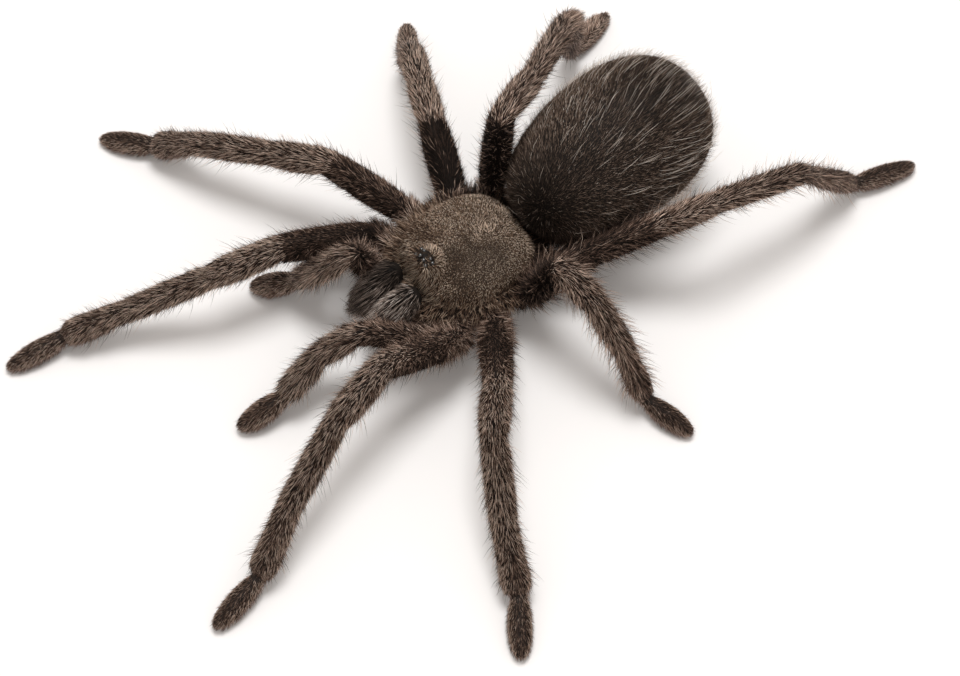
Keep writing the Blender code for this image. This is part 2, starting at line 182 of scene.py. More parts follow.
def limb_joints(kind, side_name):
    """The joints of a limb, from its root beside the sternum to the tip of its foot."""
    limb, pose, side = LIMBS[kind], POSES[kind, side_name], SIDES[side_name]
    joints = [at(side, *limb["root"]), at(side, *limb["hip"])]
    for length, sweep, pitch in zip(limb["lengths"], pose["sweep"], pose["pitch"]):
        turn = math.radians(sweep)
        lift = math.asin((pose["ankle"] - joints[-1][2]) / length) if pitch is None else math.radians(pitch)
        level = math.cos(lift)
        way = np.array((side * math.cos(turn) * level, -math.sin(turn) * level, math.sin(lift)))
        joints.append(joints[-1] + length * way)
    return np.array(joints)


def ripple(places, size, seed):
    """A smooth random value from about -1 to 1 at each place, with bumps about size mm across."""
    rng = np.random.default_rng(seed)
    waves = rng.normal(size=(14, 3))
    waves *= (math.pi / size * rng.uniform(0.5, 1.5, 14) / np.linalg.norm(waves, axis=1))[:, None]
    return np.sin(places @ waves.T + rng.uniform(0, 2 * math.pi, 14)).sum(1) / math.sqrt(14.0)


def unit(vectors):
    """The vectors, each with a length of 1."""
    return vectors / np.maximum(np.linalg.norm(vectors, axis=1, keepdims=True), 1e-9)


def mixed_tones(tones, pale_share, rng, dark_share=0.42, darker=0.30, paler=0.36):
    """Tones hair by hair: some hairs are darker than the coat around them, and a share are much paler."""
    chance = rng.random(len(tones))
    step = np.where(chance < dark_share, -darker, 0.0) + np.where(chance > 1.0 - pale_share, paler, 0.0)
    return tones + step + rng.normal(0, 0.06, len(tones))


# ---------------------------------------------------------------- materials


def hair_shade_group():
    """Colour of a hair from its tone and the way along it: darker at the root, partly the hair's own colour
    and partly painted shade among the roots.
    """
    group = bpy.data.node_groups.new("hair_shade", "ShaderNodeTree")
    face = group.interface
    for name in ("Tone", "Along", "Root Shade"):
        face.new_socket(name, in_out="INPUT", socket_type="NodeSocketFloat")
    for name in ("Black", "Brown", "Beige", "Pale"):
        face.new_socket(name, in_out="INPUT", socket_type="NodeSocketColor")
    face.new_socket("Colour", in_out="OUTPUT", socket_type="NodeSocketColor")
    nodes, links = group.nodes, group.links
    given = nodes.new("NodeGroupInput")
    result = nodes.new("NodeGroupOutput")
    colour = given.outputs["Black"]
    for low, high, name in ((0.0, 0.33, "Brown"), (0.33, 0.66, "Beige"), (0.66, 1.0, "Pale")):
        share = nodes.new("ShaderNodeMapRange")
        share.inputs["From Min"].default_value = low
        share.inputs["From Max"].default_value = high
        links.new(given.outputs["Tone"], share.inputs["Value"])
        mix = nodes.new("ShaderNodeMix")
        mix.data_type = "RGBA"
        links.new(share.outputs["Result"], mix.inputs["Factor"])
        links.new(colour, mix.inputs["A"])
        links.new(given.outputs[name], mix.inputs["B"])
        colour = mix.outputs["Result"]
    shade = nodes.new("ShaderNodeMapRange")
    shade.inputs["From Max"].default_value = 0.5
    links.new(given.outputs["Along"], shade.inputs["Value"])
    links.new(given.outputs["Root Shade"], shade.inputs["To Min"])
    tint = nodes.new("ShaderNodeMix")
    tint.data_type = "RGBA"
    tint.blend_type = "MULTIPLY"
    tint.inputs["Factor"].default_value = 1.0
    links.new(colour, tint.inputs["A"])
    links.new(shade.outputs["Result"], tint.inputs["B"])
    links.new(tint.outputs["Result"], result.inputs["Colour"])
    return group


def new_material(name):
    """A new material, its nodes, its links and its shader."""
    made = bpy.data.materials.new(name)
    made.use_nodes = True
    return made, made.node_tree.nodes, made.node_tree.links, made.node_tree.nodes["Principled BSDF"]


# root_shade is how dark each hair's root is: partly its own colour, partly painted shade among the roots.
def hair_material(name, colours, root_shade=0.22, roughness=0.45):
    """Hair whose colour follows the piece's own map: tone across, root to tip up."""
    made, nodes, links, shader = new_material(name)
    shader.inputs["Roughness"].default_value = roughness
    shader.inputs["Specular IOR Level"].default_value = 0.09
    lay = nodes.new("ShaderNodeUVMap")
    lay.uv_map = "OFBake"
    split = nodes.new("ShaderNodeSeparateXYZ")
    links.new(lay.outputs["UV"], split.inputs["Vector"])
    shade = nodes.new("ShaderNodeGroup")
    shade.node_tree = bpy.data.node_groups["hair_shade"]
    shade.inputs["Root Shade"].default_value = root_shade
    for socket, colour in zip(("Black", "Brown", "Beige", "Pale"), colours):
        shade.inputs[socket].default_value = (*colour, 1.0)
    links.new(split.outputs["X"], shade.inputs["Tone"])
    links.new(split.outputs["Y"], shade.inputs["Along"])
    links.new(shade.outputs["Colour"], shader.inputs["Base Color"])
    return made


def skin_material(name, dark, light, roughness=0.6):
    """Cuticle under the hair: two close browns in patches, with a fine grain."""
    made, nodes, links, shader = new_material(name)
    shader.inputs["Roughness"].default_value = roughness
    shader.inputs["Specular IOR Level"].default_value = 0.12
    place = nodes.new("ShaderNodeTexCoord")
    patches = nodes.new("ShaderNodeTexNoise")
    patches.inputs["Scale"].default_value = 500.0
    links.new(place.outputs["Object"], patches.inputs["Vector"])
    mix = nodes.new("ShaderNodeMix")
    mix.data_type = "RGBA"
    mix.inputs["A"].default_value = (*dark, 1.0)
    mix.inputs["B"].default_value = (*light, 1.0)
    links.new(patches.outputs["Fac"], mix.inputs["Factor"])
    links.new(mix.outputs["Result"], shader.inputs["Base Color"])
    grain = nodes.new("ShaderNodeTexNoise")
    grain.inputs["Scale"].default_value = 4000.0
    links.new(place.outputs["Object"], grain.inputs["Vector"])
    bump = nodes.new("ShaderNodeBump")
    bump.inputs["Strength"].default_value = 0.4
    bump.inputs["Distance"].default_value = 0.05 * MM
    links.new(grain.outputs["Fac"], bump.inputs["Height"])
    links.new(bump.outputs["Normal"], shader.inputs["Normal"])
    return made


def glossy_material(name, colour, roughness, shine, lacquer=0.0):
    """Horn and eyes: smooth, dark and shiny, with faint streaks."""
    made, nodes, links, shader = new_material(name)
    shader.inputs["Roughness"].default_value = roughness
    shader.inputs["Specular IOR Level"].default_value = shine
    shader.inputs["Coat Weight"].default_value = lacquer
    shader.inputs["Coat IOR"].default_value = 1.8
    place = nodes.new("ShaderNodeTexCoord")
    streaks = nodes.new("ShaderNodeTexNoise")
    streaks.inputs["Scale"].default_value = 900.0
    links.new(place.outputs["Object"], streaks.inputs["Vector"])
    mix = nodes.new("ShaderNodeMix")
    mix.data_type = "RGBA"
    mix.inputs["A"].default_value = (*colour, 1.0)
    mix.inputs["B"].default_value = (*(3.0 * c for c in colour), 1.0)
    links.new(streaks.outputs["Fac"], mix.inputs["Factor"])
    links.new(mix.outputs["Result"], shader.inputs["Base Color"])
    return made


# ---------------------------------------------------------------- skins


def finish_piece(piece):
    """Fixes a piece to the part."""
    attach(piece, "root")
    return piece


def add_object(name, data, finish):
    """Puts a mesh in the scene, smooth and with one material."""
    data.materials.append(finish)
    data.shade_smooth()
    piece = bpy.data.objects.new(name, data)
    bpy.context.collection.objects.link(piece)
    return piece


def add_balls(name, balls, around, levels, finish, bumps=0.0):
    """One piece made of balls, each given by its middle and its half sizes in mm. bumps is how uneven it is.

    The points and faces are listed here, because Blender's own balls have them in another order on each run,
    and hair that is scattered on them would then fall in other places.
    """
    ball = [(0.0, 0.0, 1.0)]
    for drop in np.pi * np.arange(1, levels) / levels:
        for turn in 2 * np.pi * np.arange(around) / around:
            ball.append((math.sin(drop) * math.cos(turn), math.sin(drop) * math.sin(turn), math.cos(drop)))
    ball.append((0.0, 0.0, -1.0))
    places = np.concatenate([np.array(ball) * sizes + middle for middle, sizes in balls])
    if bumps:
        places[:, 2] += bumps * ripple(places, 0.9, 91)
    faces = []
    for first in range(0, len(places), len(ball)):
        for k in range(around):
            beside = (k + 1) % around
            rings = [first + 1 + level * around for level in range(levels - 1)]
            faces.append((first, rings[0] + k, rings[0] + beside))
            for upper, lower in zip(rings, rings[1:]):
                faces.append((upper + k, lower + k, lower + beside, upper + beside))
            faces.append((rings[-1] + k, first + len(ball) - 1, rings[-1] + beside))
    data = bpy.data.meshes.new(name)
    data.from_pydata((places * MM).tolist(), [], faces)
    return finish_piece(add_object(name, data, finish))


def add_skin(node, depth, finish, smooth=1):
    """A skin in the shape of a node of the model, sunk under it so that the hair has room."""
    mesh = bmesh.new()
    mesh.from_mesh(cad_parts[node].data)
    bmesh.ops.remove_doubles(mesh, verts=mesh.verts, dist=0.00002)
    bmesh.ops.join_triangles(
        mesh, faces=mesh.faces, angle_face_threshold=math.radians(35), angle_shape_threshold=math.radians(50)
    )
    bmesh.ops.recalc_face_normals(mesh, faces=mesh.faces)
    mesh.normal_update()
    for vertex, inward in [(v, -v.normal) for v in mesh.verts]:
        vertex.co += inward * (depth(vertex.co / MM) if callable(depth) else depth) * MM
    data = bpy.data.meshes.new(f"{node}_skin")
    mesh.to_mesh(data)
    mesh.free()
    piece = add_object(f"{node}_skin", data, finish)
    rounding = piece.modifiers.new("rounding", "SUBSURF")
    rounding.levels = rounding.render_levels = smooth
    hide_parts(node)
    return finish_piece(piece)


def skin_surface(piece):
    """The corners of a skin's triangles and the smooth normals there, in mm."""
    shown = piece.evaluated_get(bpy.context.evaluated_depsgraph_get())
    mesh = shown.to_mesh()
    mesh.calc_loop_triangles()
    places = np.empty(len(mesh.vertices) * 3)
    mesh.vertices.foreach_get("co", places)
    normals = np.empty(len(mesh.vertices) * 3)
    mesh.vertices.foreach_get("normal", normals)
    corners = np.empty(len(mesh.loop_triangles) * 3, int)
    mesh.loop_triangles.foreach_get("vertices", corners)
    shown.to_mesh_clear()
    corners = corners.reshape(-1, 3)
    return places.reshape(-1, 3)[corners] / MM, normals.reshape(-1, 3)[corners]


# ---------------------------------------------------------------- hair


def scatter(surface, density, rng):
    """Random places on a surface, density on each square millimetre, with the normal at each."""
    corners, normals = surface
    areas = np.linalg.norm(np.cross(corners[:, 1] - corners[:, 0], corners[:, 2] - corners[:, 0]), axis=1) / 2
    count = int(areas.sum() * density * (1.0))
    faces = rng.choice(len(areas), size=count, p=areas / areas.sum())
    a, b = rng.random((2, count))
    a, b = np.where(a + b > 1, 1 - a, a), np.where(a + b > 1, 1 - b, b)
    weights = np.stack((1 - a - b, a, b), axis=1)[:, :, None]
    return (weights * corners[faces]).sum(1), unit((weights * normals[faces]).sum(1))


def evenly(surface, density, rng):
    """Places on a surface as scatter gives them, thinned to one in each small cube, so that none crowd."""
    roots, normals = scatter(surface, TRIES * density, rng)
    cubes = np.floor(roots / math.sqrt(CUBE_SHARE / density)).astype(int)
    kept = np.unique(cubes, axis=0, return_index=True)[1]
    return roots[kept], normals[kept]


def comb(normals, flow, lift, rng, stray=6.0):
    """Which way each hair points: along the flow, lifted off the skin, with a few degrees of stray."""
    count = len(normals)
    lift = np.radians(np.broadcast_to(lift, count) + rng.normal(0, stray, count))
    flat = unit(flow - (flow * normals).sum(1)[:, None] * normals)
    across = np.cross(normals, flat)
    turn = np.radians(rng.normal(0, stray * 1.4, count))[:, None]
    flat = flat * np.cos(turn) + across * np.sin(turn)
    return flat * np.cos(lift)[:, None] + normals * np.sin(lift)[:, None]


class Coat:
    """Gathers hairs, each a thin three-sided spike, and joins them into one piece."""

    def __init__(self, seed):
        self.rng = np.random.default_rng(seed)
        self.places, self.faces, self.sizes, self.maps, self.count = [], [], [], [], 0

    def grow(self, roots, ways, normals, lengths, tones, radius, bend=None):
        """Adds hairs. With bend, a hair has a knee halfway, and its outer half turns by that vector."""
        count = len(roots)
        lengths = np.broadcast_to(lengths, count)[:, None]
        tones = np.clip(np.broadcast_to(tones, count), 0.01, 0.99)
        across = unit(np.cross(ways, normals))
        upward = np.cross(across, ways)
        starts = roots - normals * ROOT_DEPTH
        rings = [(starts, radius, 0.0)]
        tips = starts + ways * lengths
        if bend is not None:
            knees = starts + ways * lengths * 0.5
            rings.append((knees, radius * KNEE_WIDTH, 0.5))
            tips = knees + unit(ways + bend) * lengths * 0.5
        turns = np.radians((90.0, 210.0, 330.0))
        corners = []
        for middles, thick, _ in rings:
            for turn in turns:
                corners.append(middles + (across * math.cos(turn) + upward * math.sin(turn)) * thick)
        corners.append(tips)
        corners = np.stack(corners, axis=1)
        corners[:, :, 2] = np.maximum(corners[:, :, 2], FLOOR_GAP)
        last, shades = len(rings) * 3, [ring[2] for ring in rings for _ in range(3)] + [1.0]
        spreads = [SIDE_TONES[k % 3] for k in range(last)] + [0.0]
        faces = []
        for ring in range(len(rings)):
            for k in range(3):
                here, beside = ring * 3 + k, ring * 3 + (k + 1) % 3
                tip = (last,) if ring + 1 == len(rings) else (beside + 3, here + 3)
                faces.append((here, beside, *tip))
        for face in faces:
            index = np.array(face)
            self.faces.append((self.count + np.arange(count)[:, None] * (last + 1) + index))
            tone = tones[:, None] + np.array([spreads[k] for k in face])
            along = np.broadcast_to(np.array([shades[k] for k in face]), tone.shape)
            self.maps.append(np.stack((tone, along), axis=2))
        self.places.append(corners.reshape(-1, 3))
        self.count += count * (last + 1)

    def join(self, name, finish):
        """Makes the piece."""
        data = bpy.data.meshes.new(name)
        places = np.concatenate(self.places) * MM
        data.vertices.add(len(places))
        data.vertices.foreach_set("co", places.ravel())
        corners = np.concatenate([faces.ravel() for faces in self.faces])
        sizes = np.concatenate([np.full(len(faces), faces.shape[1]) for faces in self.faces])
        data.loops.add(len(corners))
        data.loops.foreach_set("vertex_index", corners)
        data.polygons.add(len(sizes))
        data.polygons.foreach_set("loop_start", np.concatenate(([0], np.cumsum(sizes)[:-1])))
        data.polygons.foreach_set("use_smooth", np.ones(len(sizes), bool))
        data.update(calc_edges=True)
        lay = data.uv_layers.new(name="OFBake")
        lay.data.foreach_set("uv", np.concatenate([m.ravel() for m in self.maps]))
        data.materials.append(finish)
        piece = bpy.data.objects.new(name, data)
        bpy.context.collection.objects.link(piece)
        triangles = int((sizes - 2).sum())
        print(name, "triangles", triangles)
        coat_triangles.append(triangles)
        return finish_piece(piece)


coat_triangles = []


def grow_layers(hairs, surface, layers, coat):
    """Grows each layer. coat gives tone, length, lift, way and whether a hair grows, for each place."""
    rng = hairs.rng
    for number, (density, radius, tone_share, spread, length_share, curve) in enumerate(layers):
        roots, normals = (evenly if number else scatter)(surface, density, rng)
        tone, length, lift, flow, keep = coat(roots, normals, rng)
        tone = tone * tone_share * (1.0 + rng.normal(0, spread, len(roots)))
        ways = comb(normals, flow, lift + LAYER_LIFT * number, rng, stray=4.0)
        length = length * length_share * rng.uniform(0.75, 1.15, len(roots))
        bend = -curve * normals[keep] if curve else None
        hairs.grow(roots[keep], ways[keep], normals[keep], length[keep], tone[keep], radius, bend=bend)


# ---------------------------------------------------------------- the limbs


def limb_map(kind, side_name, places):
    """For each place on a limb: its segment, the share of the way along it, and the way to the foot."""
    joints = limb_joints(kind, side_name)
    starts, runs = joints[:-1], joints[1:] - joints[:-1]
    lengths = np.linalg.norm(runs, axis=1)
    share = ((places[:, None] - starts) * runs).sum(2) / lengths**2
    nearest = starts + np.clip(share, 0, 1)[:, :, None] * runs
    distance = np.linalg.norm(places[:, None] - nearest, axis=2)
    segment = distance.argmin(1)
    closeness = np.exp(-(((distance - distance.min(1)[:, None]) / FLOW_BLEND) ** 2))
    flow = unit(closeness @ (runs / lengths[:, None]))
    return segment, np.clip(share[np.arange(len(places)), segment], 0, 1), flow


def near_foot(segment, share, foot):
    """True on the tarsus and the end of the segment before it, where the coat is short and neat."""
    return (segment == foot) | ((segment == foot - 1) & (share > 0.75))


def add_bent_foot_hair(hairs, surface):
    """The right fourth foot is drawn in under its leg, and longer hair closes the notch between them."""
    rng = hairs.rng
    joints = limb_joints("leg_4", "right")
    tibia, tarsus = unit(joints[4:5] - joints[3:4]), unit(joints[6:7] - joints[5:6])
    top = np.array((-0.61, -0.12, 0.78))
    inward = np.array((0.40, 0.85, 0.25))
    roots, normals = scatter(surface, NOTCH_DENSITY, rng)
    segment, share, _ = limb_map("leg_4", "right", roots)
    foot = (segment == TARSUS) & (share < 0.8) & (normals @ top > 0.2)
    knee = ((segment == TIBIA) & (share > 0.86)) | ((segment == METATARSUS) & (share < 0.45))
    knee &= normals @ (top + inward) > 0.2
    patches = ((foot, 0.75 * tarsus + 0.60 * top, 2.4 - 1.6 * share), (knee, 0.6 * tibia + inward, 2.2))
    for keep, way, length in patches:
        count = keep.sum()
        ways = comb(unit(np.cross(way, normals[keep])), np.tile(way, (count, 1)), 0.0, rng, stray=8)
        lengths = np.broadcast_to(length, len(roots))[keep] * rng.uniform(0.6, 1.15, count)
        tone = mixed_tones(np.full(count, 0.60), 0.3, rng, 0.4)
        hairs.grow(roots[keep], ways, normals[keep], lengths, tone, NOTCH_RADIUS)


def add_root_tuft(hairs, surface, limb):
    """Longer hair at the roots of some left legs, which hides the floor between them."""
    rng = hairs.rng
    roots, normals = scatter(surface, TUFT_DENSITY, rng)
    segment, share, flow = limb_map(*limb, roots)
    keep = ((segment == FEMUR) & (share < 0.3)) | ((segment == COXA) & (share > 0.5))
    keep &= np.abs(normals[:, 2]) < 0.7
    roots, normals, flow = roots[keep], normals[keep], flow[keep]
    ways = comb(normals, flow, rng.uniform(25, 55, len(roots)), rng, stray=8)
    tone = mixed_tones(np.full(len(roots), ROOT_TUFTS[limb]), 0.2, rng)
    hairs.grow(roots, ways, normals, rng.uniform(1.6, 3.2, len(roots)), tone, TUFT_RADIUS)


def add_wisps(hairs, surface, limb):
    """Long fine hairs that stand out on both sides of a left leg."""
    rng = hairs.rng
    roots, normals = scatter(surface, WISPS[limb], rng)
    segment, share, flow = limb_map(*limb, roots)
    keep = (segment > COXA) & ((segment < METATARSUS) | ((segment == METATARSUS) & (share < 0.7)))
    keep &= np.abs(normals[:, 2]) < 0.6
    roots, normals, flow, segment = roots[keep], normals[keep], flow[keep], segment[keep]
    ways = comb(normals, flow, rng.uniform(30, 65, len(roots)), rng, stray=8)
    length = rng.uniform(2.2, 4.4, len(roots))
    tone = rng.uniform(0.2, 0.9, len(roots)) - 0.35 * (segment == FEMUR)
    hairs.grow(roots, ways, normals, length, tone, WISP_RADIUS, bend=0.30 * flow)


def add_curled_hairs(hairs, surface):
    """A few long pale hairs on top of the left fourth leg's root, curled to either side."""
    rng = hairs.rng
    roots, normals = scatter(surface, CURL_DENSITY, rng)
    segment, share, flow = limb_map("leg_4", "left", roots)
    keep = ((segment == COXA) | ((segment == FEMUR) & (share < 0.5))) & (normals[:, 2] > 0.2)
    roots, normals, flow = roots[keep], normals[keep], flow[keep]
    ways = comb(normals, flow, rng.uniform(8, 35, len(roots)), rng, stray=22)
    bend = np.cross(normals, ways) * rng.choice((-0.9, 0.9), len(roots))[:, None]
    tone = rng.uniform(0.85, 0.99, len(roots))
    hairs.grow(roots, ways, normals, rng.uniform(2.5, 5.0, len(roots)), tone, CURL_RADIUS, bend=bend)


def add_limb(kind, side_name, seed):
    """The skin, the coat and the foot's pads of one limb."""
    limb = (kind, side_name)
    node = f"{kind}_{side_name}"
    surface = skin_surface(add_skin(node, SKIN_DEPTH, LIMB_SKIN))
    names = PALP_SEGMENTS if kind == "pedipalp" else LEG_SEGMENTS
    foot = len(names) - 1
    longer = 1.35 if kind == "pedipalp" else 1.0
    # The coxa and femur tones hold painted shade on limbs that lie in shadow, besides each limb's own tone.
    coxa_tone_and_shade, femur_tone_and_shade, rest_tone = LIMB_TONES_AND_SHADE[limb]
    pale_foot = limb in PALE_FEET
    soft_end = SOFT_ENDS.get(limb, 0.0)
    wispy = limb == ("leg_3", "left")
    hairs = Coat(seed)
    rng = hairs.rng

    def coat(places, normals, rng):
        segment, share, flow = limb_map(kind, side_name, places)
        tone, length, lift = np.array([SEGMENT_COATS[name] for name in names]).T[:, segment]
        # On femora that lie in shadow this tone is partly painted shade.
        femur_tones_and_shade = femur_tone_and_shade + 0.26 * normals[:, 2]
        tone += np.select([segment == COXA, segment == FEMUR], [coxa_tone_and_shade, femur_tones_and_shade], rest_tone)
        tone = np.where((segment == FEMUR) & (share > 0.95), 0.55, tone)
        sideways = np.cross(flow, (0.0, 0.0, 1.0))
        lateral = (normals * sideways).sum(1)
        femur_ends = np.clip(share - 0.55, 0, 1) + 0.20 * (share < 0.2)
        tone += (segment == FEMUR) * (0.12 * lateral**2 + soft_end * femur_ends)
        tone += (segment == COXA) * 0.12 * ripple(places, 1.6, seed + 4)
        footed = np.where(segment == foot, 1.0, 0.0)
        if kind != "pedipalp":
            footed = np.where(segment == foot - 1, np.clip(share / 0.5, 0.0, 1.0), footed)
        tone += footed * (0.50 * np.abs(lateral) - (0.04 if pale_foot else 0.24))
        tone = np.where((segment == foot) & (share < 0.10), 0.75, tone)
        tone += 0.06 * ripple(places, 4.0, seed + 2)
        side = 1.0 - np.abs(normals[:, 2])
        length *= longer * (1.0 + 0.3 * side * (1.0 - footed))
        length = np.where((segment == foot - 1) & (share > 0.86), length * 0.5, length)
        lift = lift + (15.0 - 9.0 * footed) * side
        flow = flow + (0.75 * footed * lateral)[:, None] * sideways
        curl = np.where(segment == COXA, 0.5, 0.12) * ripple(places, 0.9, seed + 3)
        flow = flow + curl[:, None] * np.cross(normals, flow)
        return tone, length, lift, flow, (segment < foot - 1) | (normals[:, 2] > -0.25)

    grow_layers(hairs, surface, LIMB_LAYERS, coat)

    roots, normals = evenly(surface, FOOT_DENSITY, rng)
    segment, share, flow = limb_map(kind, side_name, roots)
    keep = (segment == foot) | ((segment == foot - 1) & (share > 0.2) & (kind != "pedipalp"))
    keep &= normals[:, 2] > -0.2
    roots, normals, flow = roots[keep], normals[keep], flow[keep]
    lateral = (normals * np.cross(flow, (0.0, 0.0, 1.0))).sum(1)
    flow = flow + (0.9 * lateral)[:, None] * np.cross(flow, (0.0, 0.0, 1.0))
    tone = (0.34 + 0.22 * pale_foot + 0.40 * np.abs(lateral)) * (1.0 + rng.normal(0, 0.35, len(roots)))
    length = rng.uniform(0.75, 1.05, len(roots))
    hairs.grow(roots, comb(normals, flow, 17.0, rng, stray=3.0), normals, length, tone, FOOT_RADIUS)

    roots, normals = scatter(surface, FUZZ_DENSITY, rng)
    segment, share, flow = limb_map(kind, side_name, roots)
    length = np.select([segment == foot, segment == COXA], [0.8, 2.6], 1.9)
    length = length * longer * rng.uniform(0.5, 1.2, len(roots))
    ways = comb(normals, flow, rng.uniform(32, 60, len(roots)), rng, stray=8)
    streaked = (segment == FEMUR) & (normals[:, 2] > 0.0) & wispy
    tone = np.where(segment == FEMUR, 0.30, 0.36) - 0.16 * streaked
    tone = mixed_tones(tone, np.where(streaked, 0.15, 0.25), rng, paler=0.40)
    chance = np.where(np.abs(normals[:, 2]) < 0.6, 1.0, 0.15 + 0.35 * streaked)
    chance = np.where(near_foot(segment, share, foot), 0.25, chance)
    keep = rng.random(len(roots)) < chance
    hairs.grow(roots[keep], ways[keep], normals[keep], length[keep], tone[keep], FUZZ_RADIUS)

    roots, normals = scatter(surface, BRISTLE_DENSITY, rng)
    segment, share, flow = limb_map(kind, side_name, roots)
    below = normals[:, 2] < 0.35
    chance = np.where(below, 0.62, 0.16)
    chance = np.where((segment == foot - 1) & (kind != "pedipalp"), 0.5 * chance, chance)
    chance = np.where(near_foot(segment, share, foot) | (segment == COXA), 0.0, chance)
    keep = rng.random(len(roots)) < chance
    length = np.where(below, 3.8, 3.0) * rng.uniform(0.5, 1.2 + 0.2 * wispy, len(roots))
    ways = comb(normals, flow, rng.uniform(26, 56, len(roots)), rng, stray=8)
    tone = np.where(rng.random(len(roots)) < np.where(segment == FEMUR, 0.12 + 0.3 * wispy, 0.3), 0.75, 0.12)
    bend = 0.22 * flow[keep]
    hairs.grow(roots[keep], ways[keep], normals[keep], length[keep], tone[keep], BRISTLE_RADIUS, bend=bend)

    if limb == ("leg_4", "right"):
        add_bent_foot_hair(hairs, surface)
    if limb in ROOT_TUFTS:
        add_root_tuft(hairs, surface, limb)
    if limb in WISPS:
        add_wisps(hairs, surface, limb)
    if limb == ("leg_4", "left"):
        add_curled_hairs(hairs, surface)
    hairs.join(f"{node}_coat", LEG_COAT)

    pads = Coat(seed + 5)
    roots, normals = scatter(surface, PAD_DENSITY, pads.rng)
    segment, share, flow = limb_map(kind, side_name, roots)
    reach = (segment == foot) | ((segment == foot - 1) & (share > 0.35) & (kind != "pedipalp"))
    keep = reach & (normals[:, 2] < 0.05)
    roots, normals, flow = roots[keep], normals[keep], flow[keep]
    ways = comb(normals, flow, 42.0, pads.rng, stray=7)
    tone = mixed_tones(np.full(len(roots), 0.5), 0.2, pads.rng)
    pads.grow(roots, ways, normals, pads.rng.uniform(0.8, 1.15, len(roots)), tone, PAD_RADIUS)
    pads.join(f"{node}_pads", SCOPULA_COAT)


# ---------------------------------------------------------------- the body


def add_body_coat(node, depth, finish, skin_finish, layers, coat, seed, extra=None):
    """Skin and hair on one piece of the body. extra grows more hair than the layers do."""
    surface = skin_surface(add_skin(node, depth, skin_finish))
    hairs = Coat(seed)
    grow_layers(hairs, surface, layers, coat)
    if extra:
        extra(hairs, surface)
    hairs.join(f"{node}_coat", finish)


def add_abdomen():
    """The abdomen: dark hair that runs back from the waist, with long pale hairs over it."""
    waist = at(LEFT, -11.5, 0.0, 5.0)
    hip_gap = at(LEFT, -14.0, 6.0, 7.0)

    def depth(place):
        return 0.32 - 0.30 * min(max((16.0 - place.y + CARAPACE_MIDDLE[1]) / 5.0, 0.0), 1.0)

    def from_waist(places, normals):
        return unit(places - waist) + np.array((-0.1, 0.5, 0.0))

    def coat(places, normals, rng):
        body = places - CARAPACE_MIDDLE
        rear = np.clip((body[:, 1] - 28.0) / 8.0, 0.0, 1.0)
        dark = np.exp(-(((body[:, 1] - 36.0) / 5.5) ** 2) - ((body[:, 0] + 0.5) / 5.5) ** 2)
        front = np.clip((19.0 - body[:, 1]) / 9.0, 0.0, 1.0)
        painted_sheen = np.exp(-(((body[:, 1] - 23.0) / 9.0) ** 2) - ((body[:, 0] + 6.0) / 5.5) ** 2)
        gap = np.exp(-((np.linalg.norm(places - hip_gap, axis=1) / 4.5) ** 4))
        tone = 0.40 - 0.02 * rear + (0.03 + 0.07 * rear) * ripple(places, 2.6, 41)
        # The paler olive patch on the left is a painted sheen, and the darker front, next to the carapace, is
        # painted shade; the front's hair is also longer and more lifted.
        tone += 0.16 * painted_sheen - 0.21 * dark - 0.27 * front + 0.05 * np.clip(body[:, 0] / 8.0, 0.0, 1.0)
        length = 0.65 + 0.9 * front + 1.9 * gap
        return tone, length, 40.0 + 8.0 * front, from_waist(places, normals), np.ones(len(places), bool)

    def long_hair(hairs, surface):
        rng = hairs.rng
        roots, normals = scatter(surface, LONG_DENSITY, rng)
        rear = np.clip((roots[:, 1] - CARAPACE_MIDDLE[1] - 15.0) / 14.0, 0.0, 1.0)
        keep = rng.random(len(roots)) < 0.10 + 0.60 * rear
        roots, normals, rear = roots[keep], normals[keep], rear[keep]
        flow = 0.5 * unit(roots - waist) + np.array((-0.22, 1.0, 0.0))
        flow += 0.18 * np.cross(normals, flow) * ripple(roots, 6.0, 43)[:, None]
        ways = comb(normals, flow, rng.uniform(12, 27, len(roots)), rng, stray=4)
        tone = rng.uniform(0.78, 0.97, len(roots))
        length = rng.uniform(2.2, 4.6, len(roots)) + 1.4 * rear
        radius = rng.uniform(*LONG_RADII, (len(roots), 1))
        hairs.grow(roots, ways, normals, length, tone, radius, bend=-0.30 * normals)

        roots, normals = scatter(surface, DOWN_DENSITY, rng)
        ways = comb(normals, from_waist(roots, normals), rng.uniform(34, 66, len(roots)), rng, stray=8)
        length = rng.uniform(0.9, 2.4, len(roots))
        hairs.grow(roots, ways, normals, length, rng.uniform(0.1, 0.8, len(roots)), DOWN_RADIUS)

    add_body_coat("abdomen", depth, ABDOMEN_COAT, DARK_SKIN, ABDOMEN_LAYERS, coat, seed=40, extra=long_hair)


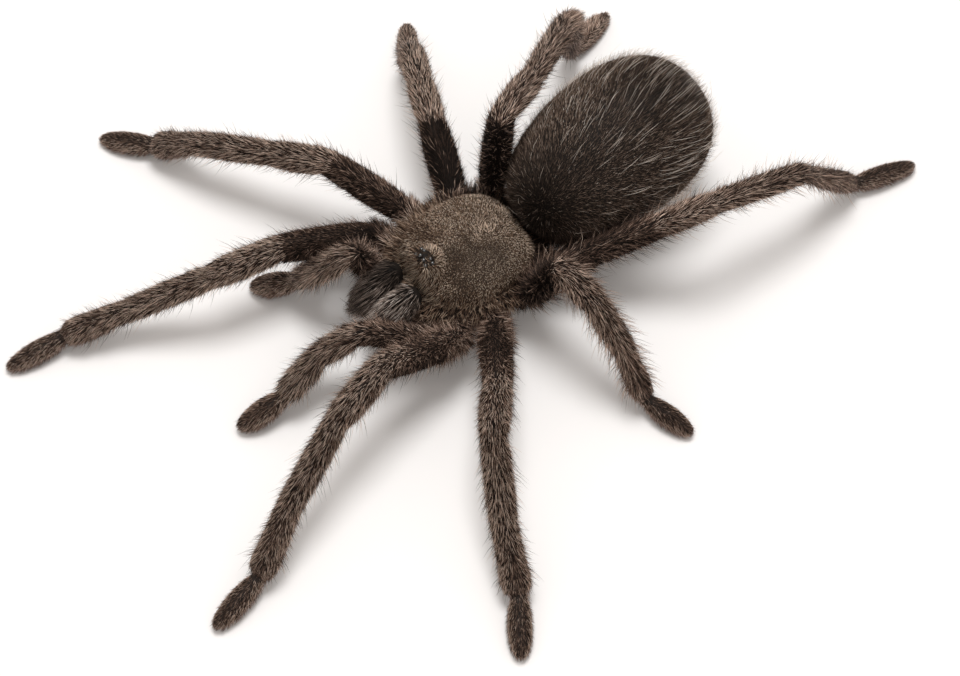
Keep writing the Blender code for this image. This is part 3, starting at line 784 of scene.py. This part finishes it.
def add_carapace():
    """The carapace: short hair that runs out from the pit in its middle and from the eyes."""
    fovea = at(LEFT, -3.4, 0.0, 12.0)
    eyes = at(LEFT, 7.5, 0.0, 14.0)
    eye_round = np.array((0.85, 1.15, 1.0))  # the eyes' mound is wider than it is long

    def outward(places, normals):
        away = places - fovea
        away[:, 2] = 0.0
        swirl = np.array((1.0, 0.6, 0.0)) * ripple(places, 1.5, 53)[:, None]
        from_eyes = unit((places - eyes) * np.array((1.0, 1.0, 0.0)))
        near = np.exp(-((np.linalg.norm((places - eyes) * eye_round, axis=1) / 3.6) ** 4))[:, None]
        from_fovea = unit(away) + np.array((0.0, -0.35, 0.0)) + 0.5 * swirl
        return from_fovea * (1.0 - near) + 1.6 * near * from_eyes

    def coat(places, normals, rng):
        body = places - CARAPACE_MIDDLE
        along, out = -body[:, 1], np.abs(body[:, 0])
        tone = 0.66 + 0.07 * ripple(places, 0.6, 51) + 0.05 * ripple(places, 3.5, 52)
        # The darker band across each side of the head is painted shade in the grooves there.
        groove_shade = np.exp(-(((along - 3.4 - 0.16 * out) / 1.9) ** 2)) * np.clip((out - 1.0) / 1.8, 0, 1)
        groove_shade *= np.clip((10.5 - out) / 3.0, 0, 1)
        # The paler line along the middle of the head is a painted highlight on its crest.
        crest_highlight = np.exp(-((out / 0.8) ** 2)) * np.clip((along - 0.4) / 1.5, 0, 1)
        pit = np.exp(-(((along + 3.0) / 1.5) ** 2) - (out / 1.2) ** 2)
        rim = np.clip((10.6 - places[:, 2]) / 1.6, 0, 1)
        front = np.clip((along - 7.0) / 2.0, 0, 1)
        right = np.clip(-body[:, 0] / 6.0, 0, 1)
        rear_right = right * np.clip((-along - 3.0) / 4.0, 0, 1)
        groove_shade *= 1.15 - 0.35 * right
        corner = np.clip((body[:, 0] - 2.0) / 2.0, 0, 1)
        left = np.clip(body[:, 0] / 5.0, 0, 1)
        marks = 0.03 + 0.06 * left + 0.10 * crest_highlight - 0.32 * groove_shade + 0.26 * pit + 0.04 * rim
        tone += marks + front * (0.30 - 0.40 * corner)
        # The rear left rim is much darker: painted shade in the gap beside the third and fourth legs' roots;
        # its hair is shorter as well.
        shaded_rear_left = np.clip((body[:, 0] - 5.0) / 1.5, 0, 1) * np.clip((2.0 - along) / 2.0, 0, 1)
        tone += 0.16 * rim * rear_right - 0.05 * right * (1.0 - rear_right) - 0.55 * shaded_rear_left * rim
        near = np.linalg.norm((places - eyes) * eye_round, axis=1)
        behind = np.clip((6.6 - along) / 1.2, 0, 1)
        ahead = np.clip((along - 6.8) / 1.5, 0, 1)
        tone += 0.30 * behind * np.exp(-(((near - 2.6) / 0.9) ** 2)) - 0.50 * np.exp(-((near / 1.8) ** 4))
        tone -= 0.25 * ahead * right * np.exp(-(((near - 2.6) / 1.2) ** 2))
        ring = np.exp(-(((near - 2.5) / 1.0) ** 2))
        length = 0.38 + 0.7 * rim * (1.0 - shaded_rear_left) + 1.3 * front + 0.5 * ring
        keep = (near > 1.5) | (rng.random(len(places)) < 0.3)
        keep &= (normals[:, 2] > -0.4) | (rng.random(len(places)) < 0.3)
        return tone, length, 50.0 - 18.0 * np.maximum(rim, front), outward(places, normals), keep

    def pale_hair(hairs, surface):
        """Near white hairs behind the pit and behind the eyes."""
        rng = hairs.rng
        roots, normals = scatter(surface, PIT_DENSITY, rng)
        body = roots - CARAPACE_MIDDLE
        pit = np.exp(-(((body[:, 1] - 3.7) / 1.5) ** 2) - ((body[:, 0] + 0.5) / 1.0) ** 2)
        near = np.linalg.norm((roots - eyes) * eye_round, axis=1)
        behind = np.clip((7.6 + body[:, 1]) / 1.5, 0, 1) * np.clip((body[:, 0] + 2.5) / 1.5, 0, 1)
        chance = 0.9 * pit + 0.9 * behind * np.exp(-(((near - 2.6) / 0.8) ** 2)) + 0.03
        keep = rng.random(len(roots)) < chance
        roots, normals = roots[keep], normals[keep]
        ways = comb(normals, outward(roots, normals), rng.uniform(20, 50, len(roots)), rng, stray=10.0)
        length = rng.uniform(0.6, 1.1, len(roots))
        hairs.grow(roots, ways, normals, length, rng.uniform(0.8, 0.99, len(roots)), PIT_RADIUS)

    add_body_coat("carapace", 0.3, SHELL_COAT, SHELL_SKIN, SHELL_LAYERS, coat, seed=50, extra=pale_hair)


def add_soft_joints():
    """The soft hairy skin above the sternum, which closes the gaps between the legs' roots."""
    piece = add_balls("soft_joints", [(at(LEFT, 0.3, 0.0, 7.4), SOFT_JOINTS)], 40, 20, DARK_SKIN)
    hairs = Coat(80)
    rng = hairs.rng
    roots, normals = scatter(skin_surface(piece), JOINT_DENSITY, rng)
    away = roots - at(LEFT, 0.3, 0.0, 6.5)
    edge = np.linalg.norm(away * np.array((1 / SOFT_JOINTS[0], 1 / SOFT_JOINTS[1], 0.0)), axis=1)
    keep = (edge > 0.72) | (normals[:, 2] < -0.3)
    roots, normals, away = roots[keep], normals[keep], away[keep]
    rear = np.clip((away[:, 1] - 1.0) / 4.0, 0.0, 1.0)
    tone = mixed_tones(0.40 - 0.32 * rear, 0.25 - 0.17 * rear, rng)
    flow = unit(away) + np.array((0.0, -0.2, 0.0)) * (1.0 - rear)[:, None]
    ways = comb(normals, flow, rng.uniform(15, 60, len(roots)) * (1.0 - 0.5 * rear), rng, stray=9)
    length = rng.uniform(1.4, 2.8, len(roots)) * (1.0 + 0.6 * rear)
    hairs.grow(roots, ways, normals, length, tone, JOINT_RADIUS)
    hairs.join("soft_joints_coat", SHELL_COAT)


def add_jaws():
    """The two jaws with their grey hair, and the bare fangs."""
    for side_name, side in SIDES.items():

        def coat(places, normals, rng):
            base = np.clip((places[:, 1] - at(side, 14.5, 0, 0)[1]) / 3.0, 0.0, 1.0)
            tone = 0.51 + 0.13 * side - 0.20 * base + 0.05 * ripple(places, 0.8, 61)
            flow = unit(places - at(side, 3.0, 0.5, 11.0)) + np.array((0.0, -0.8, -0.4))
            length = 2.2 - 0.9 * base
            return tone, length, 22.0, flow, places[:, 1] < at(side, 11.2, 0, 0)[1]

        seed = 60 + len(side_name)
        add_body_coat(f"chelicera_{side_name}", 0.25, JAW_COAT, DARK_SKIN, JAW_LAYERS, coat, seed)
        add_skin(f"fang_{side_name}", 0.0, HORN, smooth=2)


def add_underside():
    """The plates under the body, the stalk, the spinnerets and the mound that carries them."""

    def coat(places, normals, rng):
        tone = 0.25 + 0.06 * ripple(places, 1.0, 71)
        rearward = np.tile(np.array((0.0, 1.0, -0.15)), (len(places), 1))
        return tone, np.full(len(places), 1.1), 20.0, rearward, np.ones(len(places), bool)

    for number, node in enumerate(("sternum", "labium", "pedicel", "spinneret_left", "spinneret_right")):
        add_body_coat(node, 0.25, ABDOMEN_COAT, DARK_SKIN, UNDERSIDE_LAYERS, coat, seed=70 + number)

    mound = [(at(LEFT, -39.9, -1.2, 6.5), (2.7, 2.0, 1.5))]
    piece = add_balls("spinneret_mound", mound, 32, 16, DARK_SKIN)
    hairs = Coat(77)
    roots, normals = scatter(skin_surface(piece), MOUND_DENSITY, hairs.rng)
    flow = np.tile(np.array((0.0, 1.0, -0.2)), (len(roots), 1))
    ways = comb(normals, flow, hairs.rng.uniform(15, 50, len(roots)), hairs.rng, stray=8)
    tone = mixed_tones(np.full(len(roots), 0.34), 0.25, hairs.rng)
    hairs.grow(roots, ways, normals, hairs.rng.uniform(1.1, 2.2, len(roots)), tone, MOUND_RADIUS)
    hairs.join("spinneret_mound_coat", ABDOMEN_COAT)


def add_eyes():
    """The eight eyes and the mound that they sit on."""
    balls = []
    for ahead, out, rise, radius in EYES:
        for side in SIDES.values():
            balls.append((at(side, TUBERCLE[0] + ahead, out, TUBERCLE[2] + rise), radius))
    add_balls("eyes", balls, 20, 12, EYE)
    mound = [(at(LEFT, *TUBERCLE), (2.0, 1.25, 1.0))]
    add_balls("eye_mound", mound, 32, 16, DARK_SKIN, bumps=0.12)


# ---------------------------------------------------------------- the floor, the light and the camera


def add_floor():
    """The plain white ground."""
    mesh = bmesh.new()
    bmesh.ops.create_grid(mesh, x_segments=1, y_segments=1, size=2.0)
    data = bpy.data.meshes.new("floor")
    mesh.to_mesh(data)
    mesh.free()
    made, _, _, shader = new_material("white_floor")
    shader.inputs["Base Color"].default_value = (0.9, 0.885, 0.875, 1.0)
    shader.inputs["Roughness"].default_value = 0.9
    shader.inputs["Specular IOR Level"].default_value = 0.0
    data.materials.append(made)
    floor = bpy.data.objects.new("floor", data)
    bpy.context.collection.objects.link(floor)


def add_light(name, place, aim, size, power):
    """A round lamp that shines at a place."""
    data = bpy.data.lights.new(name, "AREA")
    data.shape = "DISK"
    data.size = size
    data.energy = power
    lamp = bpy.data.objects.new(name, data)
    lamp.location = place
    lamp.rotation_euler = (aim - Vector(place)).to_track_quat("-Z", "Y").to_euler()
    bpy.context.collection.objects.link(lamp)


def add_stage():
    """The ground, the lamp, the white room around them and the camera."""
    add_floor()
    middle = Vector((0.0, 0.0, 0.01))
    key = middle + (Vector((0.0, 0.0, 1.0)) + ACROSS * 0.01 + AWAY * 0.20).normalized() * KEY_DISTANCE
    add_light("key", key, middle, KEY_SIZE, KEY_POWER)
    world = bpy.data.worlds.new("white_room")
    world.use_nodes = True
    world.node_tree.nodes["Background"].inputs["Color"].default_value = ROOM_COLOUR
    world.node_tree.nodes["Background"].inputs["Strength"].default_value = ROOM_STRENGTH
    scene = bpy.context.scene
    scene.world = world
    scene.view_settings.view_transform = "Standard"

    target = Vector(at(LEFT, 0.0, 0.0, 9.0) * MM)
    data = bpy.data.cameras.new("camera")
    data.sensor_width = SENSOR_WIDTH
    data.lens = FOCAL / PICTURE_WIDTH * SENSOR_WIDTH
    data.clip_start, data.clip_end = 0.01, 20.0
    camera = bpy.data.objects.new("camera", data)
    bpy.context.collection.objects.link(camera)
    aim = (-BACK * FOCAL + ACROSS * SHIFT_ACROSS - UPWARD * SHIFT_DOWN).normalized()
    side = (ACROSS - aim * ACROSS.dot(aim)).normalized()
    turn = Matrix((side, side.cross(aim), -aim)).transposed()
    camera.matrix_world = Matrix.Translation(target + BACK * CAMERA_DISTANCE) @ turn.to_4x4()
    scene.camera = camera


hair_shade_group()
LEG_COAT = hair_material("leg_hair", LEG_HAIR)
SHELL_COAT = hair_material("carapace_hair", SHELL_HAIR)
ABDOMEN_COAT = hair_material("abdomen_hair", ABDOMEN_HAIR)
JAW_COAT = hair_material("jaw_hair", JAW_HAIR)
SCOPULA_COAT = hair_material("scopula_hair", SCOPULA_HAIR)
LIMB_SKIN = skin_material("limb_skin", (0.010, 0.007, 0.006), (0.024, 0.016, 0.012))
DARK_SKIN = skin_material("dark_skin", (0.005, 0.004, 0.003), (0.014, 0.010, 0.008))
SHELL_SKIN = skin_material("carapace_skin", (0.018, 0.012, 0.008), (0.050, 0.034, 0.022))
HORN = glossy_material("fang_horn", (0.010, 0.007, 0.006), 0.18, 0.5)
EYE = glossy_material("eye", (0.001, 0.001, 0.001), 0.06, 0.4, 1.0)

add_stage()
for number, (limb_kind, limb_side) in enumerate(POSES):
    add_limb(limb_kind, limb_side, 100 + 10 * number)
add_abdomen()
add_carapace()
add_jaws()
add_soft_joints()
add_underside()
add_eyes()
print("hair triangles in all", sum(coat_triangles))
